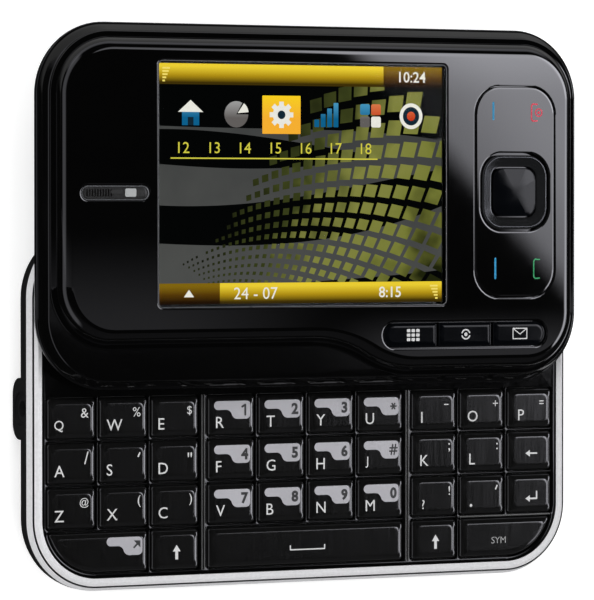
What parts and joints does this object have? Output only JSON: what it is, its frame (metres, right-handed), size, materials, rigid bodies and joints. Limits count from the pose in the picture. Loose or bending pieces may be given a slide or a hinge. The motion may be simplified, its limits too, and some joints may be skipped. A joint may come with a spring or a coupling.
{
  "type": "slider phone",
  "caption": "Landscape slider phone, open: a glossy black screen half slid up over a silver-rimmed keyboard half.",
  "frame": {"origin": "centre of the keyboard half's flat back face", "axes": "+X to the right, +Y the way the screen half slides open, +Z out of the screen"},
  "size_m": [0.0973, 0.09, 0.0154],
  "materials": {
    "black_shell": "satin black moulded plastic",
    "black_cover": "fine textured black plastic",
    "battery_wrap": "plain printed-free wrap",
    "silver_trim": "bright silver lacquer, two facets",
    "keypad_black": "satin black",
    "keypad_rubber": "matt silicone",
    "circuit_board": "green solder mask",
    "jack_plastic": "black moulded plastic",
    "socket_steel": "tin-plated steel",
    "camera_black": "black with a coated lens",
    "side_key": "satin black",
    "slide_steel": "stamped stainless steel",
    "spring_steel": "drawn spring wire",
    "black_casing": "semi-gloss black",
    "black_gloss": "piano black",
    "clear_window": "clear polished window",
    "display_panel": "display module",
    "grille_black": "fine black grille",
    "dark_chrome": "dark chrome ring",
    "key_black": "semi-gloss black key"
  },
  "bodies": {
    "base": {"rear_shell": "black_shell", "battery_cover": "black_cover", "battery": "battery_wrap", "silver_frame": "silver_trim", "keypad_frame": "keypad_black", "key_mat": "keypad_rubber", "main_board": "circuit_board", "audio_jack": "jack_plastic", "data_socket": "socket_steel", "camera_module": "camera_black", "slide_rails": "slide_steel"},
    "screen": {"slide_carriage": "slide_steel", "assist_spring": "spring_steel", "slab_shell": "black_casing", "front_cover": "black_gloss", "display_window": "clear_window", "display_module": "display_panel", "earpiece_grille": "grille_black"},
    "key_q": {"key_q": "key_black"},
    "key_w": {"key_w": "key_black"},
    "key_e": {"key_e": "key_black"},
    "key_r": {"key_r": "key_black"},
    "key_t": {"key_t": "key_black"},
    "key_y": {"key_y": "key_black"},
    "key_u": {"key_u": "key_black"},
    "key_i": {"key_i": "key_black"},
    "key_o": {"key_o": "key_black"},
    "key_p": {"key_p": "key_black"},
    "key_a": {"key_a": "key_black"},
    "key_s": {"key_s": "key_black"},
    "key_d": {"key_d": "key_black"},
    "key_f": {"key_f": "key_black"},
    "key_g": {"key_g": "key_black"},
    "key_h": {"key_h": "key_black"},
    "key_j": {"key_j": "key_black"},
    "key_k": {"key_k": "key_black"},
    "key_l": {"key_l": "key_black"},
    "key_z": {"key_z": "key_black"},
    "key_x": {"key_x": "key_black"},
    "key_c": {"key_c": "key_black"},
    "key_v": {"key_v": "key_black"},
    "key_b": {"key_b": "key_black"},
    "key_n": {"key_n": "key_black"},
    "key_m": {"key_m": "key_black"},
    "key_backspace": {"key_backspace": "key_black"},
    "key_question": {"key_question": "key_black"},
    "key_stop": {"key_stop": "key_black"},
    "key_enter": {"key_enter": "key_black"},
    "key_shift_left": {"key_shift_left": "key_black"},
    "key_space": {"key_space": "key_black"},
    "key_shift_right": {"key_shift_right": "key_black"},
    "key_fn": {"key_fn": "key_black"},
    "key_symbol": {"key_symbol": "key_black"},
    "centre_key": {"centre_key": "black_gloss"},
    "shortcut_key_left": {"shortcut_key_left": "black_gloss"},
    "shortcut_key_middle": {"shortcut_key_middle": "black_gloss"},
    "shortcut_key_right": {"shortcut_key_right": "black_gloss"},
    "nav_plate": {"nav_plate": "black_gloss"},
    "nav_ring": {"nav_ring": "dark_chrome"},
    "volume_rocker": {"volume_rocker": "side_key"}
  },
  "joints": [
    {"name": "screen_slide", "type": "slide", "parent": "base", "child": "screen", "axis": [0, 1, 0], "range_m": [-0.032, 0], "deforming": ["assist_spring"]},
    {"name": "key_q_press", "type": "slide", "parent": "base", "child": "key_q", "axis": [0, 0, 1], "range_m": [-0.0003, 0], "stiffness_N_per_m": 250, "springref_m": 0.0002},
    {"name": "key_w_press", "type": "slide", "parent": "base", "child": "key_w", "axis": [0, 0, 1], "range_m": [-0.0003, 0], "stiffness_N_per_m": 250, "springref_m": 0.0002},
    {"name": "key_e_press", "type": "slide", "parent": "base", "child": "key_e", "axis": [0, 0, 1], "range_m": [-0.0003, 0], "stiffness_N_per_m": 250, "springref_m": 0.0002},
    {"name": "key_r_press", "type": "slide", "parent": "base", "child": "key_r", "axis": [0, 0, 1], "range_m": [-0.0003, 0], "stiffness_N_per_m": 250, "springref_m": 0.0002},
    {"name": "key_t_press", "type": "slide", "parent": "base", "child": "key_t", "axis": [0, 0, 1], "range_m": [-0.0003, 0], "stiffness_N_per_m": 250, "springref_m": 0.0002},
    {"name": "key_y_press", "type": "slide", "parent": "base", "child": "key_y", "axis": [0, 0, 1], "range_m": [-0.0003, 0], "stiffness_N_per_m": 250, "springref_m": 0.0002},
    {"name": "key_u_press", "type": "slide", "parent": "base", "child": "key_u", "axis": [0, 0, 1], "range_m": [-0.0003, 0], "stiffness_N_per_m": 250, "springref_m": 0.0002},
    {"name": "key_i_press", "type": "slide", "parent": "base", "child": "key_i", "axis": [0, 0, 1], "range_m": [-0.0003, 0], "stiffness_N_per_m": 250, "springref_m": 0.0002},
    {"name": "key_o_press", "type": "slide", "parent": "base", "child": "key_o", "axis": [0, 0, 1], "range_m": [-0.0003, 0], "stiffness_N_per_m": 250, "springref_m": 0.0002},
    {"name": "key_p_press", "type": "slide", "parent": "base", "child": "key_p", "axis": [0, 0, 1], "range_m": [-0.0003, 0], "stiffness_N_per_m": 250, "springref_m": 0.0002},
    {"name": "key_a_press", "type": "slide", "parent": "base", "child": "key_a", "axis": [0, 0, 1], "range_m": [-0.0003, 0], "stiffness_N_per_m": 250, "springref_m": 0.0002},
    {"name": "key_s_press", "type": "slide", "parent": "base", "child": "key_s", "axis": [0, 0, 1], "range_m": [-0.0003, 0], "stiffness_N_per_m": 250, "springref_m": 0.0002},
    {"name": "key_d_press", "type": "slide", "parent": "base", "child": "key_d", "axis": [0, 0, 1], "range_m": [-0.0003, 0], "stiffness_N_per_m": 250, "springref_m": 0.0002},
    {"name": "key_f_press", "type": "slide", "parent": "base", "child": "key_f", "axis": [0, 0, 1], "range_m": [-0.0003, 0], "stiffness_N_per_m": 250, "springref_m": 0.0002},
    {"name": "key_g_press", "type": "slide", "parent": "base", "child": "key_g", "axis": [0, 0, 1], "range_m": [-0.0003, 0], "stiffness_N_per_m": 250, "springref_m": 0.0002},
    {"name": "key_h_press", "type": "slide", "parent": "base", "child": "key_h", "axis": [0, 0, 1], "range_m": [-0.0003, 0], "stiffness_N_per_m": 250, "springref_m": 0.0002},
    {"name": "key_j_press", "type": "slide", "parent": "base", "child": "key_j", "axis": [0, 0, 1], "range_m": [-0.0003, 0], "stiffness_N_per_m": 250, "springref_m": 0.0002},
    {"name": "key_k_press", "type": "slide", "parent": "base", "child": "key_k", "axis": [0, 0, 1], "range_m": [-0.0003, 0], "stiffness_N_per_m": 250, "springref_m": 0.0002},
    {"name": "key_l_press", "type": "slide", "parent": "base", "child": "key_l", "axis": [0, 0, 1], "range_m": [-0.0003, 0], "stiffness_N_per_m": 250, "springref_m": 0.0002},
    {"name": "key_z_press", "type": "slide", "parent": "base", "child": "key_z", "axis": [0, 0, 1], "range_m": [-0.0003, 0], "stiffness_N_per_m": 250, "springref_m": 0.0002},
    {"name": "key_x_press", "type": "slide", "parent": "base", "child": "key_x", "axis": [0, 0, 1], "range_m": [-0.0003, 0], "stiffness_N_per_m": 250, "springref_m": 0.0002},
    {"name": "key_c_press", "type": "slide", "parent": "base", "child": "key_c", "axis": [0, 0, 1], "range_m": [-0.0003, 0], "stiffness_N_per_m": 250, "springref_m": 0.0002},
    {"name": "key_v_press", "type": "slide", "parent": "base", "child": "key_v", "axis": [0, 0, 1], "range_m": [-0.0003, 0], "stiffness_N_per_m": 250, "springref_m": 0.0002},
    {"name": "key_b_press", "type": "slide", "parent": "base", "child": "key_b", "axis": [0, 0, 1], "range_m": [-0.0003, 0], "stiffness_N_per_m": 250, "springref_m": 0.0002},
    {"name": "key_n_press", "type": "slide", "parent": "base", "child": "key_n", "axis": [0, 0, 1], "range_m": [-0.0003, 0], "stiffness_N_per_m": 250, "springref_m": 0.0002},
    {"name": "key_m_press", "type": "slide", "parent": "base", "child": "key_m", "axis": [0, 0, 1], "range_m": [-0.0003, 0], "stiffness_N_per_m": 250, "springref_m": 0.0002},
    {"name": "key_backspace_press", "type": "slide", "parent": "base", "child": "key_backspace", "axis": [0, 0, 1], "range_m": [-0.0003, 0], "stiffness_N_per_m": 250, "springref_m": 0.0002},
    {"name": "key_question_press", "type": "slide", "parent": "base", "child": "key_question", "axis": [0, 0, 1], "range_m": [-0.0003, 0], "stiffness_N_per_m": 250, "springref_m": 0.0002},
    {"name": "key_stop_press", "type": "slide", "parent": "base", "child": "key_stop", "axis": [0, 0, 1], "range_m": [-0.0003, 0], "stiffness_N_per_m": 250, "springref_m": 0.0002},
    {"name": "key_enter_press", "type": "slide", "parent": "base", "child": "key_enter", "axis": [0, 0, 1], "range_m": [-0.0003, 0], "stiffness_N_per_m": 250, "springref_m": 0.0002},
    {"name": "key_shift_left_press", "type": "slide", "parent": "base", "child": "key_shift_left", "axis": [0, 0, 1], "range_m": [-0.0003, 0], "stiffness_N_per_m": 250, "springref_m": 0.0002},
    {"name": "key_space_press", "type": "slide", "parent": "base", "child": "key_space", "axis": [0, 0, 1], "range_m": [-0.0003, 0], "stiffness_N_per_m": 250, "springref_m": 0.0002},
    {"name": "key_shift_right_press", "type": "slide", "parent": "base", "child": "key_shift_right", "axis": [0, 0, 1], "range_m": [-0.0003, 0], "stiffness_N_per_m": 250, "springref_m": 0.0002},
    {"name": "key_fn_press", "type": "slide", "parent": "base", "child": "key_fn", "axis": [0, 0, 1], "range_m": [-0.0003, 0], "stiffness_N_per_m": 250, "springref_m": 0.0002},
    {"name": "key_symbol_press", "type": "slide", "parent": "base", "child": "key_symbol", "axis": [0, 0, 1], "range_m": [-0.0003, 0], "stiffness_N_per_m": 250, "springref_m": 0.0002},
    {"name": "centre_key_press", "type": "slide", "parent": "screen", "child": "centre_key", "axis": [0, 0, 1], "range_m": [-0.0002, 0], "stiffness_N_per_m": 250, "springref_m": 0.0002},
    {"name": "shortcut_key_left_press", "type": "slide", "parent": "screen", "child": "shortcut_key_left", "axis": [0, 0, 1], "range_m": [-0.0002, 0], "stiffness_N_per_m": 250, "springref_m": 0.0002},
    {"name": "shortcut_key_middle_press", "type": "slide", "parent": "screen", "child": "shortcut_key_middle", "axis": [0, 0, 1], "range_m": [-0.0002, 0], "stiffness_N_per_m": 250, "springref_m": 0.0002},
    {"name": "shortcut_key_right_press", "type": "slide", "parent": "screen", "child": "shortcut_key_right", "axis": [0, 0, 1], "range_m": [-0.0002, 0], "stiffness_N_per_m": 250, "springref_m": 0.0002},
    {"name": "nav_plate_rock", "type": "hinge", "parent": "screen", "child": "nav_plate", "pos_m": [0.0346, 0.0343, 0.0148], "axis": [1, 0, 0], "range_deg": [-0.6, 0.6], "stiffness_Nm_per_rad": 0.5},
    {"name": "nav_ring_rock", "type": "hinge", "parent": "screen", "child": "nav_ring", "pos_m": [0.0346, 0.0343, 0.0148], "axis": [1, 0, 0], "range_deg": [-1.5, 1.5], "stiffness_Nm_per_rad": 0.1},
    {"name": "volume_rocker_rock", "type": "hinge", "parent": "base", "child": "volume_rocker", "pos_m": [0.0472, 0.014, 0.0043], "axis": [0, 0, 1], "range_deg": [-1.2, 1.2], "stiffness_Nm_per_rad": 0.1}
  ]
}
